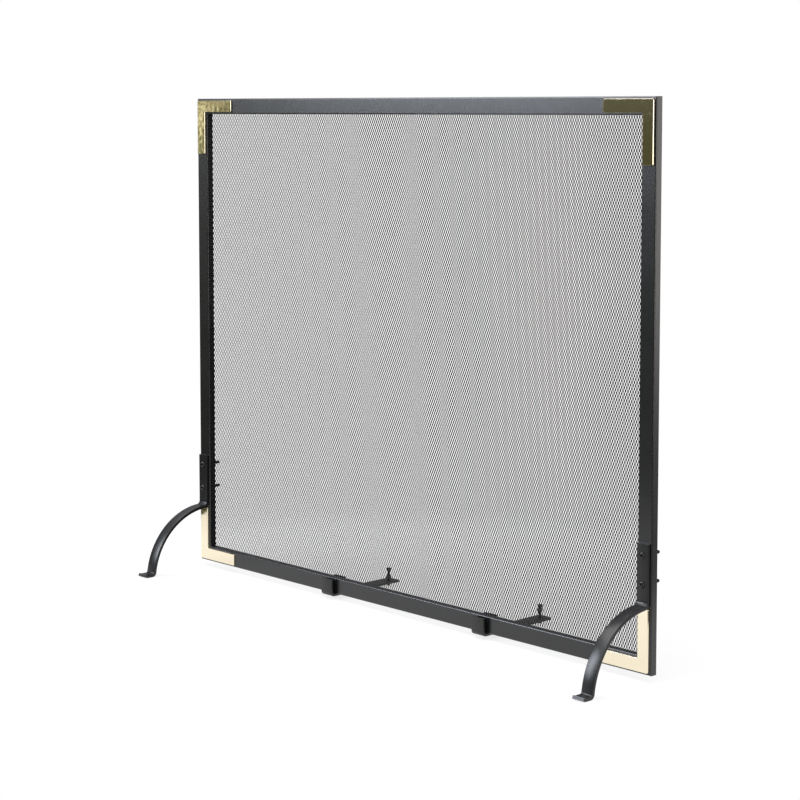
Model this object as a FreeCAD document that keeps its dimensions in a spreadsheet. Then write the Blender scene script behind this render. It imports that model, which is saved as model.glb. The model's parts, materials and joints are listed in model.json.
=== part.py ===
"""Single-panel fireplace screen: a mitred steel frame with expanded mesh, brass corner plates,
two bent front legs and two sliding rear supports with levelling screws.

Row frame: millimetres, +X to the right, +Y to the back, +Z up. The origin is on the floor, under
the middle of the whole object. Every driving size is a cell of the spreadsheet "dims".
"""
import FreeCAD, Part
import Sketcher
from FreeCAD import Placement, Rotation, Vector
import math
import os

# Driving dimensions, in millimetres and degrees. Heights "above the frame" start at the
# underside of the bottom rail, and depths "behind the front" start at the frame's front face.
DIMENSIONS = [
    ("frame_width", 990.6),          # over both stiles
    ("overall_height", 793.75),      # floor to the top of the top rail
    ("ground_clearance", 9.5),       # floor to the underside of the bottom rail
    ("tube_face", 25.4),             # rectangular tube, seen from the front
    ("tube_depth", 12.7),            # rectangular tube, front to back
    ("tube_wall", 1.5),
    ("tube_corner_radius", 1.8),     # outside corners of the tube
    ("mesh_thickness", 1.2),
    ("mesh_overlap", 6.5),           # mesh welded on to the back of the frame by this much
    ("corner_arm", 88.9),            # brass corner plate, length of each arm
    ("corner_width", 19.05),
    ("corner_thickness", 3.2),
    ("corner_round", 2.0),           # outer corner of the plate, seen from the front
    ("corner_edge_round", 1.0),      # rounded-over front edges
    ("corner_screw_offset", 66.0),   # plate corner to each fixing screw, along the arm
    ("corner_screw_depth", 2.2),     # tapped depth in the plate
    ("corner_screw_diameter", 4.0),
    ("corner_screw_head", 7.0),
    ("corner_screw_head_height", 2.4),
    ("leg_width", 20.0),
    ("leg_thickness", 5.0),
    ("leg_plate_top", 181.5),        # above the frame
    ("leg_bend_radius", 8.5),        # centre line of the bar, under the mounting plate
    ("leg_arc_radius", 113.0),       # centre line of the long sweep
    ("leg_arc_centre_reach", 2.0),   # sweep centre, in front of the frame
    ("leg_arc_centre_drop", 9.0),    # sweep centre, below the floor
    ("heel_radius", 5.0),            # centre line of the bend at the heel
    ("toe_rise_radius", 16.0),
    ("toe_rise_angle", 25.0),
    ("toe_reach", 133.5),            # centre of the toe's end, in front of the frame
    ("leg_bolt_height", 165.5),      # upper bolt, above the frame
    ("leg_bolt_spacing", 40.0),
    ("bolt_diameter", 5.0),
    ("bolt_length", 35.0),           # under the head
    ("bolt_head_diameter", 9.5),
    ("bolt_head_height", 2.8),
    ("bolt_socket", 3.0),            # hexagon socket, across flats
    ("bolt_socket_depth", 1.6),
    ("bolt_hole_clearance", 0.25),   # round each bolt or fixing screw, in its hole
    ("thread_clearance", 0.05),      # round each thread, in its nut or tapped hole
    ("nut_across_flats", 8.0),
    ("nut_thickness", 4.0),
    ("washer_diameter", 10.0),
    ("washer_thickness", 1.0),
    ("support_width", 24.5),
    ("support_thickness", 4.0),
    ("support_bend_radius", 4.5),    # centre line of the bend under the lip
    ("support_lip_height", 23.0),    # above the frame
    ("support_front_gap", 4.2),      # lip to the front of the frame
    ("support_back_gap", 5.6),       # upstand to the back of the frame
    ("support_upstand_height", 24.0),
    ("support_reach", 139.0),        # end of the bar, behind the front
    ("left_support_offset", 161.5),  # from the middle of the screen, as it stands
    ("right_support_offset", 174.0),
    ("levelling_screw_reach", 127.5),
    ("levelling_screw_height", 29.0),
    ("levelling_head_diameter", 9.0),
    ("levelling_head_height", 6.0),
    ("left_nut_gap", 3.0),           # lock nut to the bar, as it stands
    ("right_nut_gap", 9.0),
    ("screw_tip_chamfer", 0.6),
    ("slot_width", 1.2),
    ("slot_depth", 1.3),
]

# Places worked out from the driving dimensions, as spreadsheet expressions.
FRAME_HEIGHT = "(dims.overall_height - dims.ground_clearance)"
FRONT = ("((dims.toe_reach + dims.leg_thickness / 2 * sin(dims.toe_rise_angle)"
         " - dims.support_reach) / 2)")
BACK = f"({FRONT} + dims.tube_depth)"
STILE_CENTRE = "(dims.frame_width / 2 - dims.tube_face / 2)"
PLATE_INSET = "((dims.tube_face - dims.corner_width) / 2)"
SCREW_ALONG_TUBE = f"(dims.frame_width / 2 - {PLATE_INSET} - dims.corner_screw_offset)"
SCREW_ALONG_STILE = f"({FRAME_HEIGHT} / 2 - {PLATE_INSET} - dims.corner_screw_offset)"
UPPER_BOLT = "(dims.ground_clearance + dims.leg_bolt_height)"
LOWER_BOLT = f"({UPPER_BOLT} - dims.leg_bolt_spacing)"

X_AXIS = Vector(1, 0, 0)
Y_AXIS = Vector(0, 1, 0)
Z_AXIS = Vector(0, 0, 1)

doc = FreeCAD.newDocument("fireplace_screen")
sheet = doc.addObject("Spreadsheet::Sheet", "dims")
for row, (alias, number) in enumerate(DIMENSIONS, start=1):
    sheet.set(f"A{row}", alias)
    sheet.set(f"B{row}", str(number))
    sheet.setAlias(f"B{row}", alias)
doc.recompute()

NODES = []


def value(expression):
    """The number that a spreadsheet expression stands for."""
    return float(sheet.evalExpression(expression))


def place(node, x="0", y="0", z="0", axis=Z_AXIS, angle=0):
    """Register a sub-part under its own label, turned and bound to a place in the row frame."""
    node.Placement = Placement(Vector(), Rotation(axis, angle))
    for letter, expression in zip("xyz", (x, y, z)):
        node.setExpression(f".Placement.Base.{letter}", expression)
    NODES.append(node)
    return node


def new_body(name):
    body = doc.addObject("PartDesign::Body", name)
    body.Label = name
    return body


def new_sketch(body, name, plane, offset=None):
    """A sketch on one of the body's own origin planes, moved along that plane's normal."""
    sketch = body.newObject("Sketcher::SketchObject", f"{body.Name}_{name}")
    origin_plane = [item for item in body.Origin.OriginFeatures if item.Role == plane][0]
    sketch.AttachmentSupport = [(origin_plane, "")]
    sketch.MapMode = "FlatFace"
    if offset:
        sketch.setExpression(".AttachmentOffset.Base.z", offset)
    return sketch


def constrain(sketch, expression, kind, *elements):
    """Add a dimension to the sketch and bind it to the spreadsheet."""
    index = sketch.addConstraint(Sketcher.Constraint(kind, *elements, value(expression)))
    sketch.setExpression(f"Constraints[{index}]", expression)


def pin_point(sketch, geometry, point, across, along):
    """Fix a point of the sketch at two bound distances from the sketch's origin."""
    constrain(sketch, across, "DistanceX", -1, 1, geometry, point)
    constrain(sketch, along, "DistanceY", -1, 1, geometry, point)


def draw_polygon(sketch, corners):
    """Closed outline through corners given as pairs of expressions."""
    points = [Vector(value(across), value(along), 0) for across, along in corners]
    lines = []
    for start, end in zip(points, points[1:] + points[:1]):
        lines.append(sketch.addGeometry(Part.LineSegment(start, end), False))
    for line, following in zip(lines, lines[1:] + lines[:1]):
        sketch.addConstraint(Sketcher.Constraint("Coincident", line, 2, following, 1))
    for line, (across, along) in zip(lines, corners):
        pin_point(sketch, line, 1, across, along)
    return lines


def draw_circle(sketch, across, along, radius):
    centre = Vector(value(across), value(along), 0)
    circle = sketch.addGeometry(Part.Circle(centre, Z_AXIS, value(radius)), False)
    pin_point(sketch, circle, 3, across, along)
    constrain(sketch, radius, "Radius", circle)


def draw_rectangle(sketch, width, height):
    """Rectangle about the sketch's origin."""
    left, right = f"-({width}) / 2", f"({width}) / 2"
    low, high = f"-({height}) / 2", f"({height}) / 2"
    draw_polygon(sketch, [(left, low), (right, low), (right, high), (left, high)])


def pad(body, sketch, length, symmetric=False, backwards=False):
    feature = body.newObject("PartDesign::Pad", f"{sketch.Name}_pad")
    feature.Profile = sketch
    feature.setExpression("Length", length)
    feature.Midplane = symmetric
    feature.Reversed = backwards
    return feature


def cut(body, sketch, depth, symmetric=False, backwards=False):
    """Pocket to a depth, checked to remove material."""
    doc.recompute()
    before = body.Shape.Volume
    feature = body.newObject("PartDesign::Pocket", f"{sketch.Name}_cut")
    feature.Profile = sketch
    feature.setExpression("Length", depth)
    feature.Midplane = symmetric
    feature.Reversed = backwards
    doc.recompute()
    if not body.Shape.Volume < before - 1e-3:
        raise RuntimeError(f"{feature.Name} removed nothing")
    return feature


def revolve(body, sketch):
    """Turn a profile right round the sketch's vertical axis."""
    feature = body.newObject("PartDesign::Revolution", f"{sketch.Name}_turned")
    feature.Profile = sketch
    feature.ReferenceAxis = (sketch, ["V_Axis"])
    feature.Angle = 360
    return feature


def fillet(body, base, radius, choose):
    """Round the edges of a feature that the test picks."""
    doc.recompute()
    names = []
    for number, edge in enumerate(base.Shape.Edges, start=1):
        if choose(edge):
            names.append(f"Edge{number}")
    feature = body.newObject("PartDesign::Fillet", f"{base.Name}_round")
    feature.Base = (base, names)
    feature.setExpression("Radius", radius)
    return feature


def direction(edge):
    """Unit vector along a straight edge."""
    start, end = edge.Vertexes[0].Point, edge.Vertexes[-1].Point
    return (end - start).normalize()


def runs_along(edge, axis):
    return edge.Curve.TypeId == "Part::GeomLine" and abs(direction(edge).dot(axis)) > 0.999


# Frame: four tubes, mitred at 45 degrees -----------------------------------------------------
def draw_hollow_section(sketch):
    """Tube section with its outer face on the sketch's horizontal axis, in front of the wall."""
    depth, face, wall = "dims.tube_depth", "dims.tube_face", "dims.tube_wall"
    inner_depth, inner_face = f"({depth} - {wall})", f"({face} - {wall})"
    draw_polygon(sketch, [("0", "0"), (depth, "0"), (depth, face), ("0", face)])
    draw_polygon(sketch, [(wall, wall), (inner_depth, wall),
                          (inner_depth, inner_face), (wall, inner_face)])


def frame_tube(name, length, holes):
    """One mitred tube: along X, outer edge on z = 0, front face on y = 0. Holes go right
    through from front to back, each given as its place along the tube and the bolt's size."""
    body = new_body(name)
    section = new_sketch(body, "section", "YZ_Plane")
    draw_hollow_section(section)
    bar = pad(body, section, length, symmetric=True)
    half = f"{length} / 2"
    for side, sign in (("start", "-"), ("end", "")):
        mitre = new_sketch(body, f"mitre_{side}", "XZ_Plane")
        corner = (f"{sign}({half})", "0")
        above = (f"{sign}({half})", "dims.tube_face")
        inner = (f"{sign}({half} - dims.tube_face)", "dims.tube_face")
        draw_polygon(mitre, [corner, above, inner])
        last = cut(body, mitre, "4 * dims.tube_depth", symmetric=True)
    last = fillet(body, last, "dims.tube_corner_radius", is_outer_tube_edge)
    drilled = new_sketch(body, "holes", "XZ_Plane")
    for along, diameter in holes:
        draw_circle(drilled, along, "dims.tube_face / 2",
                    f"{diameter} / 2 + dims.bolt_hole_clearance")
    cut(body, drilled, "4 * dims.tube_depth", symmetric=True)
    return body


def is_outer_tube_edge(edge):
    """True for the four long outside edges of a tube."""
    if not runs_along(edge, X_AXIS):
        return False
    point = edge.Vertexes[0].Point
    on_depth = min(abs(point.y), abs(point.y - value("dims.tube_depth"))) < 1e-6
    on_face = min(abs(point.z), abs(point.z - value("dims.tube_face"))) < 1e-6
    return on_depth and on_face


def stile_holes(sign):
    """Leg bolts and corner plate screws of a stile, whose local X runs up (+) or down (-)."""
    middle = f"(dims.ground_clearance + {FRAME_HEIGHT} / 2)"
    return [(f"{sign}({UPPER_BOLT} - {middle})", "dims.bolt_diameter"),
            (f"{sign}({LOWER_BOLT} - {middle})", "dims.bolt_diameter"),
            (f"-{SCREW_ALONG_STILE}", "dims.corner_screw_diameter"),
            (SCREW_ALONG_STILE, "dims.corner_screw_diameter")]


rail_holes = [(f"-{SCREW_ALONG_TUBE}", "dims.corner_screw_diameter"),
              (SCREW_ALONG_TUBE, "dims.corner_screw_diameter")]
middle_height = f"dims.ground_clearance + {FRAME_HEIGHT} / 2"

place(frame_tube("bottom_rail", "dims.frame_width", rail_holes),
      y=FRONT, z="dims.ground_clearance")
place(frame_tube("top_rail", "dims.frame_width", rail_holes),
      y=FRONT, z="dims.overall_height", axis=Y_AXIS, angle=180)
place(frame_tube("left_stile", FRAME_HEIGHT, stile_holes("-")),
      x="-dims.frame_width / 2", y=FRONT, z=middle_height, axis=Y_AXIS, angle=90)
place(frame_tube("right_stile", FRAME_HEIGHT, stile_holes("")),
      x="dims.frame_width / 2", y=FRONT, z=middle_height, axis=Y_AXIS, angle=-90)

# Mesh: one sheet, welded to the back of the frame round the window ----------------------------
mesh = doc.addObject("Part::Box", "mesh_panel")
mesh.Label = "mesh_panel"
mesh_margin = "(dims.tube_face - dims.mesh_overlap)"
mesh.setExpression("Length", f"dims.frame_width - 2 * {mesh_margin}")
mesh.setExpression("Width", "dims.mesh_thickness")
mesh.setExpression("Height", f"{FRAME_HEIGHT} - 2 * {mesh_margin}")
place(mesh, x=f"-dims.frame_width / 2 + {mesh_margin}", y=BACK,
      z=f"dims.ground_clearance + {mesh_margin}")


# Brass corner plates -------------------------------------------------------------------------
def corner_plate(name):
    """L-shaped plate: corner at the origin, arms along +X and +Z, back face on y = 0."""
    body = new_body(name)
    outline = new_sketch(body, "outline", "XZ_Plane")
    arm, width = "dims.corner_arm", "dims.corner_width"
    draw_polygon(outline, [("0", "0"), (arm, "0"), (arm, width),
                           (width, width), (width, arm), ("0", arm)])
    plate = pad(body, outline, "dims.corner_thickness")
    rounded = fillet(body, plate, "dims.corner_round",
                     lambda edge: runs_along(edge, Y_AXIS) and edge.CenterOfMass.x < 1e-6
                     and edge.CenterOfMass.z < 1e-6)
    fillet(body, rounded, "dims.corner_edge_round",
           lambda edge: edge.BoundBox.YMax < -value("dims.corner_thickness") + 1e-6)
    tapped = new_sketch(body, "tapped", "XZ_Plane")
    radius = "dims.corner_screw_diameter / 2 + dims.thread_clearance"
    draw_circle(tapped, "dims.corner_screw_offset", f"{width} / 2", radius)
    draw_circle(tapped, f"{width} / 2", "dims.corner_screw_offset", radius)
    cut(body, tapped, "dims.corner_screw_depth", backwards=True)
    return body


def slotted_screw(name, head_diameter, head_height, length):
    """Screw turned about the vertical axis: head on top, its underside on z = 0."""
    body = new_body(name)
    profile = new_sketch(body, "profile", "XZ_Plane")
    shank = "dims.corner_screw_diameter / 2"
    rim = f"{head_diameter} / 2"
    tip = "dims.screw_tip_chamfer"
    draw_polygon(profile, [("0", f"-{length}"), (f"{shank} - {tip}", f"-{length}"),
                           (shank, f"{tip} - {length}"), (shank, "0"), (rim, "0"),
                           (rim, f"{head_height} - {tip}"),
                           (f"{rim} - {tip}", head_height), ("0", head_height)])
    revolve(body, profile)
    cut_slot(body, head_diameter, head_height)
    return body


def cut_slot(body, head_diameter, head_top):
    """Straight driver slot across the top of a screw head."""
    slot = new_sketch(body, "slot", "XY_Plane", offset=head_top)
    draw_rectangle(slot, f"2 * {head_diameter}", "dims.slot_width")
    cut(body, slot, "dims.slot_depth")


screw_reach = "(dims.tube_depth + dims.corner_screw_depth - dims.screw_tip_chamfer)"
inset_x = f"(dims.frame_width / 2 - {PLATE_INSET})"
inset_low = f"dims.ground_clearance + {PLATE_INSET}"
inset_high = f"dims.overall_height - {PLATE_INSET}"
rail_low = "dims.ground_clearance + dims.tube_face / 2"
rail_high = "dims.overall_height - dims.tube_face / 2"
stile_low = f"dims.ground_clearance + {PLATE_INSET} + dims.corner_screw_offset"
stile_high = f"dims.overall_height - {PLATE_INSET} - dims.corner_screw_offset"
CORNERS = [
    ("bottom_left", "-", inset_low, 0, rail_low, stile_low),
    ("bottom_right", "", inset_low, -90, rail_low, stile_low),
    ("top_right", "", inset_high, 180, rail_high, stile_high),
    ("top_left", "-", inset_high, 90, rail_high, stile_high),
]
for corner, sign, height, angle, rail_height, stile_height in CORNERS:
    place(corner_plate(f"{corner}_corner_plate"), x=f"{sign}{inset_x}", y=FRONT, z=height,
          axis=Y_AXIS, angle=angle)
    screws = [("rail", f"{sign}{SCREW_ALONG_TUBE}", rail_height),
              ("stile", f"{sign}{STILE_CENTRE}", stile_height)]
    for tube, across, up in screws:
        screw = slotted_screw(f"{corner}_{tube}_screw", "dims.corner_screw_head",
                              "dims.corner_screw_head_height", screw_reach)
        place(screw, x=across, y=BACK, z=up, axis=X_AXIS, angle=-90)


# Bent flat bars: legs and rear supports -------------------------------------------------------
def join_tangent(sketch, elements):
    """Chain path elements so that each runs smoothly into the next."""
    for (first, first_end), (second, second_end) in elements:
        sketch.addConstraint(
            Sketcher.Constraint("Tangent", first, first_end, second, second_end))


def draw_line(sketch, start, end):
    return sketch.addGeometry(Part.LineSegment(Vector(*start, 0), Vector(*end, 0)), False)


def draw_arc(sketch, centre, radius, first_angle, last_angle):
    """Arc drawn anticlockwise between two angles in radians."""
    circle = Part.Circle(Vector(*centre, 0), Z_AXIS, radius)
    return sketch.addGeometry(Part.ArcOfCircle(circle, first_angle, last_angle), False)


def sweep_bar(body, path, width, thickness, start_height, start_depth):
    """Sweep a flat bar's section, at the top of its path, down the path."""
    section = new_sketch(body, "section", "XY_Plane", offset=start_height)
    left, right = f"-{width} / 2", f"{width} / 2"
    front, back = f"{start_depth} - {thickness} / 2", f"{start_depth} + {thickness} / 2"
    draw_polygon(section, [(left, front), (right, front), (right, back), (left, back)])
    bar = body.newObject("PartDesign::AdditivePipe", f"{body.Name}_bar")
    bar.Profile = section
    bar.Spine = path
    doc.recompute()
    length = sum(edge.Length for edge in path.Shape.Edges)
    expected = value(width) * value(thickness) * length
    if abs(bar.Shape.Volume / expected - 1) > 1e-4:
        raise RuntimeError(f"{bar.Name} doesn't follow its path")
    return bar


def angle_from(centre, point):
    return math.atan2(point[1] - centre[1], point[0] - centre[0])


def point_between(start, end, distance):
    """Point at a distance from start, on the way to end."""
    share = distance / math.dist(start, end)
    return (start[0] + (end[0] - start[0]) * share, start[1] + (end[1] - start[1]) * share)


def draw_leg_path(sketch):
    """Centre line of a leg in the Y-Z plane: plate, bend, long sweep, heel and rising toe."""
    plate_y = -value("dims.leg_thickness / 2")
    top = value("dims.ground_clearance + dims.leg_plate_top")
    sweep = (-value("dims.leg_arc_centre_reach"), -value("dims.leg_arc_centre_drop"))
    radius, bend, heel = (value(f"dims.{alias}") for alias in
                          ("leg_arc_radius", "leg_bend_radius", "heel_radius"))
    rise, angle = value("dims.toe_rise_radius"), math.radians(value("dims.toe_rise_angle"))
    sole = value("dims.leg_thickness / 2")

    bend_y = plate_y - bend
    bend_centre = (bend_y, sweep[1] + math.sqrt((radius + bend) ** 2 - (bend_y - sweep[0]) ** 2))
    heel_z = sole + heel
    heel_centre = (sweep[0] - math.sqrt((radius + heel) ** 2 - (heel_z - sweep[1]) ** 2), heel_z)
    rise_y = rise * math.sin(angle) - value("dims.toe_reach")
    rise_centre = (rise_y, sole + rise)
    upper_join = point_between(sweep, bend_centre, radius)
    lower_join = point_between(sweep, heel_centre, radius)

    plate = draw_line(sketch, (plate_y, top), (plate_y, bend_centre[1]))
    bend_arc = draw_arc(sketch, bend_centre, bend, angle_from(bend_centre, upper_join), 0)
    sweep_arc = draw_arc(sketch, sweep, radius, angle_from(sweep, upper_join),
                         angle_from(sweep, lower_join))
    heel_arc = draw_arc(sketch, heel_centre, heel, -math.pi / 2,
                        angle_from(heel_centre, lower_join))
    toe = draw_line(sketch, (heel_centre[0], sole), (rise_y, sole))
    rise_arc = draw_arc(sketch, rise_centre, rise, -math.pi / 2 - angle, -math.pi / 2)

    join_tangent(sketch, [((plate, 2), (bend_arc, 2)), ((bend_arc, 1), (sweep_arc, 1)),
                          ((sweep_arc, 2), (heel_arc, 2)), ((heel_arc, 1), (toe, 1)),
                          ((toe, 2), (rise_arc, 2))])
    sketch.addConstraint(Sketcher.Constraint("Vertical", plate))
    sketch.addConstraint(Sketcher.Constraint("Horizontal", toe))
    pin_point(sketch, plate, 1, "-dims.leg_thickness / 2",
              "dims.ground_clearance + dims.leg_plate_top")
    pin_point(sketch, sweep_arc, 3, "-dims.leg_arc_centre_reach", "-dims.leg_arc_centre_drop")
    constrain(sketch, "dims.leg_bend_radius", "Radius", bend_arc)
    constrain(sketch, "dims.leg_arc_radius", "Radius", sweep_arc)
    constrain(sketch, "dims.heel_radius", "Radius", heel_arc)
    constrain(sketch, "dims.leg_thickness / 2", "DistanceY", -1, 1, toe, 1)
    constrain(sketch, "dims.toe_rise_radius", "Radius", rise_arc)
    pin_point(sketch, rise_arc, 1, "-dims.toe_reach",
              "dims.leg_thickness / 2 + dims.toe_rise_radius * (1 - cos(dims.toe_rise_angle))")


def front_leg(name):
    """Bent flat bar, centred on x = 0, with its mounting plate's back on y = 0."""
    body = new_body(name)
    path = new_sketch(body, "path", "YZ_Plane")
    draw_leg_path(path)
    sweep_bar(body, path, "dims.leg_width", "dims.leg_thickness",
              "dims.ground_clearance + dims.leg_plate_top", "-dims.leg_thickness / 2")
    holes = new_sketch(body, "bolt_holes", "XZ_Plane")
    for height in (UPPER_BOLT, LOWER_BOLT):
        draw_circle(holes, "0", height, "dims.bolt_diameter / 2 + dims.bolt_hole_clearance")
    cut(body, holes, "4 * dims.leg_thickness", symmetric=True)
    return body


def leg_bolt(name):
    """Button-head bolt turned about the vertical axis: head on top, its underside on z = 0."""
    body = new_body(name)
    profile = new_sketch(body, "profile", "XZ_Plane")
    shank, rim = "dims.bolt_diameter / 2", "dims.bolt_head_diameter / 2"
    length, tip, head = "dims.bolt_length", "dims.screw_tip_chamfer", "dims.bolt_head_height"
    crown = f"{rim} * 0.55"
    draw_polygon(profile, [("0", f"-{length}"), (f"{shank} - {tip}", f"-{length}"),
                           (shank, f"{tip} - {length}"), (shank, "0"), (rim, "0"),
                           (rim, f"{head} * 0.25"), (f"{rim} * 0.85", f"{head} * 0.72"),
                           (crown, head), ("0", head)])
    revolve(body, profile)
    socket = new_sketch(body, "socket", "XY_Plane", offset=head)
    corner = "(dims.bolt_socket / 2 / cos(30))"
    draw_polygon(socket, [(f"{corner} * cos({60 * step})", f"{corner} * sin({60 * step})")
                          for step in range(6)])
    cut(body, socket, "dims.bolt_socket_depth")
    return body


def ring(name, outer, outer_kind, thickness, bore_diameter, bore_clearance):
    """Washer or hexagon nut lying on z = 0, as a disc or prism less its bore."""
    blank = doc.addObject(outer_kind, f"{name}_blank")
    if outer_kind == "Part::Prism":
        blank.Polygon = 6
        blank.setExpression("Circumradius", f"{outer} / 2 / cos(30)")
    else:
        blank.setExpression("Radius", f"{outer} / 2")
    blank.setExpression("Height", thickness)
    bore = doc.addObject("Part::Cylinder", f"{name}_bore")
    bore.setExpression("Radius", f"{bore_diameter} / 2 + {bore_clearance}")
    bore.setExpression("Height", f"3 * {thickness}")
    bore.setExpression(".Placement.Base.z", f"-{thickness}")
    piece = doc.addObject("Part::Cut", name)
    piece.Base = blank
    piece.Tool = bore
    piece.Label = name
    return piece


def hex_nut(name):
    return ring(name, "dims.nut_across_flats", "Part::Prism", "dims.nut_thickness",
                "dims.bolt_diameter", "dims.thread_clearance")


for side, sign in (("left", "-"), ("right", "")):
    stile_x = f"{sign}{STILE_CENTRE}"
    place(front_leg(f"{side}_front_leg"), x=stile_x, y=FRONT)
    for level, height in (("upper", UPPER_BOLT), ("lower", LOWER_BOLT)):
        place(leg_bolt(f"{side}_leg_{level}_bolt"), x=stile_x,
              y=f"{FRONT} - dims.leg_thickness", z=height, axis=X_AXIS, angle=90)
        washer = ring(f"{side}_leg_{level}_washer", "dims.washer_diameter", "Part::Cylinder",
                      "dims.washer_thickness", "dims.bolt_diameter", "dims.bolt_hole_clearance")
        place(washer, x=stile_x, y=BACK, z=height, axis=X_AXIS, angle=-90)
        place(hex_nut(f"{side}_leg_{level}_nut"), x=stile_x,
              y=f"{BACK} + dims.washer_thickness", z=height, axis=X_AXIS, angle=-90)


# Rear supports: a hooked bar under the bottom rail, with an upstand and a levelling screw -----
LIP_DEPTH = "(-dims.support_front_gap - dims.support_thickness / 2)"
BAR_HEIGHT = "(dims.ground_clearance - dims.support_thickness / 2)"
LIP_TOP = "(dims.ground_clearance + dims.support_lip_height)"


def support_bar(name):
    """Flat bar with a hooked front end, centred on x = 0, measured from the frame's front."""
    body = new_body(name)
    path = new_sketch(body, "path", "YZ_Plane")
    bend = value("dims.support_bend_radius")
    lip_y, bar_z = value(LIP_DEPTH), value(BAR_HEIGHT)
    bend_centre = (lip_y + bend, bar_z + bend)
    lip = draw_line(path, (lip_y, value(LIP_TOP)), (lip_y, bend_centre[1]))
    bend_arc = draw_arc(path, bend_centre, bend, math.pi, 3 * math.pi / 2)
    bar = draw_line(path, (bend_centre[0], bar_z), (value("dims.support_reach"), bar_z))
    join_tangent(path, [((lip, 2), (bend_arc, 1)), ((bend_arc, 2), (bar, 1))])
    path.addConstraint(Sketcher.Constraint("Vertical", lip))
    path.addConstraint(Sketcher.Constraint("Horizontal", bar))
    pin_point(path, lip, 1, LIP_DEPTH, LIP_TOP)
    pin_point(path, bar, 2, "dims.support_reach", BAR_HEIGHT)
    constrain(path, "dims.support_bend_radius", "Radius", bend_arc)
    sweep_bar(body, path, "dims.support_width", "dims.support_thickness", LIP_TOP, LIP_DEPTH)
    tapped = new_sketch(body, "tapped_hole", "XY_Plane")
    draw_circle(tapped, "0", "dims.levelling_screw_reach",
                "dims.bolt_diameter / 2 + dims.thread_clearance")
    cut(body, tapped, "4 * dims.ground_clearance", symmetric=True)
    return body


def levelling_screw(name):
    """Screw with a flared head, standing on z = 0, turned about the vertical axis."""
    body = new_body(name)
    profile = new_sketch(body, "profile", "XZ_Plane")
    shank, rim = "dims.bolt_diameter / 2", "dims.levelling_head_diameter / 2"
    top, tip = "dims.levelling_screw_height", "dims.screw_tip_chamfer"
    draw_polygon(profile, [("0", "0"), (f"{shank} - {tip}", "0"), (shank, tip),
                           (shank, f"{top} - dims.levelling_head_height"),
                           (rim, f"{top} - 2 * {tip}"), (rim, f"{top} - {tip}"),
                           (f"{rim} - {tip}", top), ("0", top)])
    revolve(body, profile)
    cut_slot(body, "dims.levelling_head_diameter", top)
    return body


for side, sign in (("left", "-"), ("right", "")):
    support_x = f"{sign}dims.{side}_support_offset"
    place(support_bar(f"{side}_support_bar"), x=support_x, y=FRONT)
    upstand = doc.addObject("Part::Box", f"{side}_support_upstand")
    upstand.Label = upstand.Name
    upstand.setExpression("Length", "dims.support_width")
    upstand.setExpression("Width", "dims.support_thickness")
    upstand.setExpression("Height", "dims.support_upstand_height")
    place(upstand, x=f"{support_x} - dims.support_width / 2",
          y=f"{BACK} + dims.support_back_gap", z="dims.ground_clearance")
    screw_y = f"{FRONT} + dims.levelling_screw_reach"
    place(levelling_screw(f"{side}_levelling_screw"), x=support_x, y=screw_y)
    place(hex_nut(f"{side}_lock_nut"), x=support_x, y=screw_y,
          z=f"dims.ground_clearance + dims.{side}_nut_gap")

# Build, check and write one STEP file for each sub-part --------------------------------------
doc.recompute()
for item in doc.Objects:
    if "Invalid" in item.State or "Error" in item.State:
        raise RuntimeError(f"{item.Label} failed: {item.State}")
for node in NODES:
    if node.Shape.isNull() or not node.Shape.isValid():
        raise RuntimeError(f"{node.Label} has no valid shape")

os.makedirs("parts", exist_ok=True)
for node in NODES:
    node.Shape.exportStep(f"parts/{node.Label}.step")
    box = node.Shape.BoundBox
    print(f"{node.Label:28s} solids {len(node.Shape.Solids)} volume {node.Shape.Volume:10.1f}  "
          f"x {box.XMin:8.2f} {box.XMax:8.2f}  y {box.YMin:8.2f} {box.YMax:8.2f}  "
          f"z {box.ZMin:8.2f} {box.ZMax:8.2f}")
print(len(NODES), "nodes")
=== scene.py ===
# %% [markdown]
# # A fireplace screen in steel mesh and brass
# The tubes, plates, legs and supports of this screen come from a CAD model, so they have their true
# size already and are never moved. This lesson gives them their finishes, and builds what a CAD
# model leaves plain: the expanded mesh, the screw threads, the nuts and the welds. We start by
# loading the frame.

# %% Load the frame
import json
import math

import bmesh
import bpy
import numpy as np
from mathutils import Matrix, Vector


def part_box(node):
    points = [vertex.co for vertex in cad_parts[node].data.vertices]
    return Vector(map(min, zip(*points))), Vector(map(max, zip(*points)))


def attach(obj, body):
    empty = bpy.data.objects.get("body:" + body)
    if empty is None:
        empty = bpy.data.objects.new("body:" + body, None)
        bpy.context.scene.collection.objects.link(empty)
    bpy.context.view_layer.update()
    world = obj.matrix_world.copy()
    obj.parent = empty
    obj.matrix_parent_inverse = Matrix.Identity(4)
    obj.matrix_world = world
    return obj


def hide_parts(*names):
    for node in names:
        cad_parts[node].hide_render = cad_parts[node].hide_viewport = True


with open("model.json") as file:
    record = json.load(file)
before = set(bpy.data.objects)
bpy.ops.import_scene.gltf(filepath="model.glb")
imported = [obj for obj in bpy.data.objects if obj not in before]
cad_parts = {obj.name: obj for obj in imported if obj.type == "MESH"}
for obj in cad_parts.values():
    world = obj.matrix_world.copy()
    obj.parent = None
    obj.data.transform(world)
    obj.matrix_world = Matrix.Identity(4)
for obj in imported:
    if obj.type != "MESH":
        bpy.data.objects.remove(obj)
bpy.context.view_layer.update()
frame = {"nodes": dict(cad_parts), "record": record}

# %% [markdown]
# ## The camera
# The screen is seen from its right, a little above the middle, with a long lens so that its edges
# stay nearly parallel. Tilting the camera down would frame it too, but then the uprights would
# lean. So the camera is turned only slightly down, and the lens is shifted to move the picture on
# the sensor instead.

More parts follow.
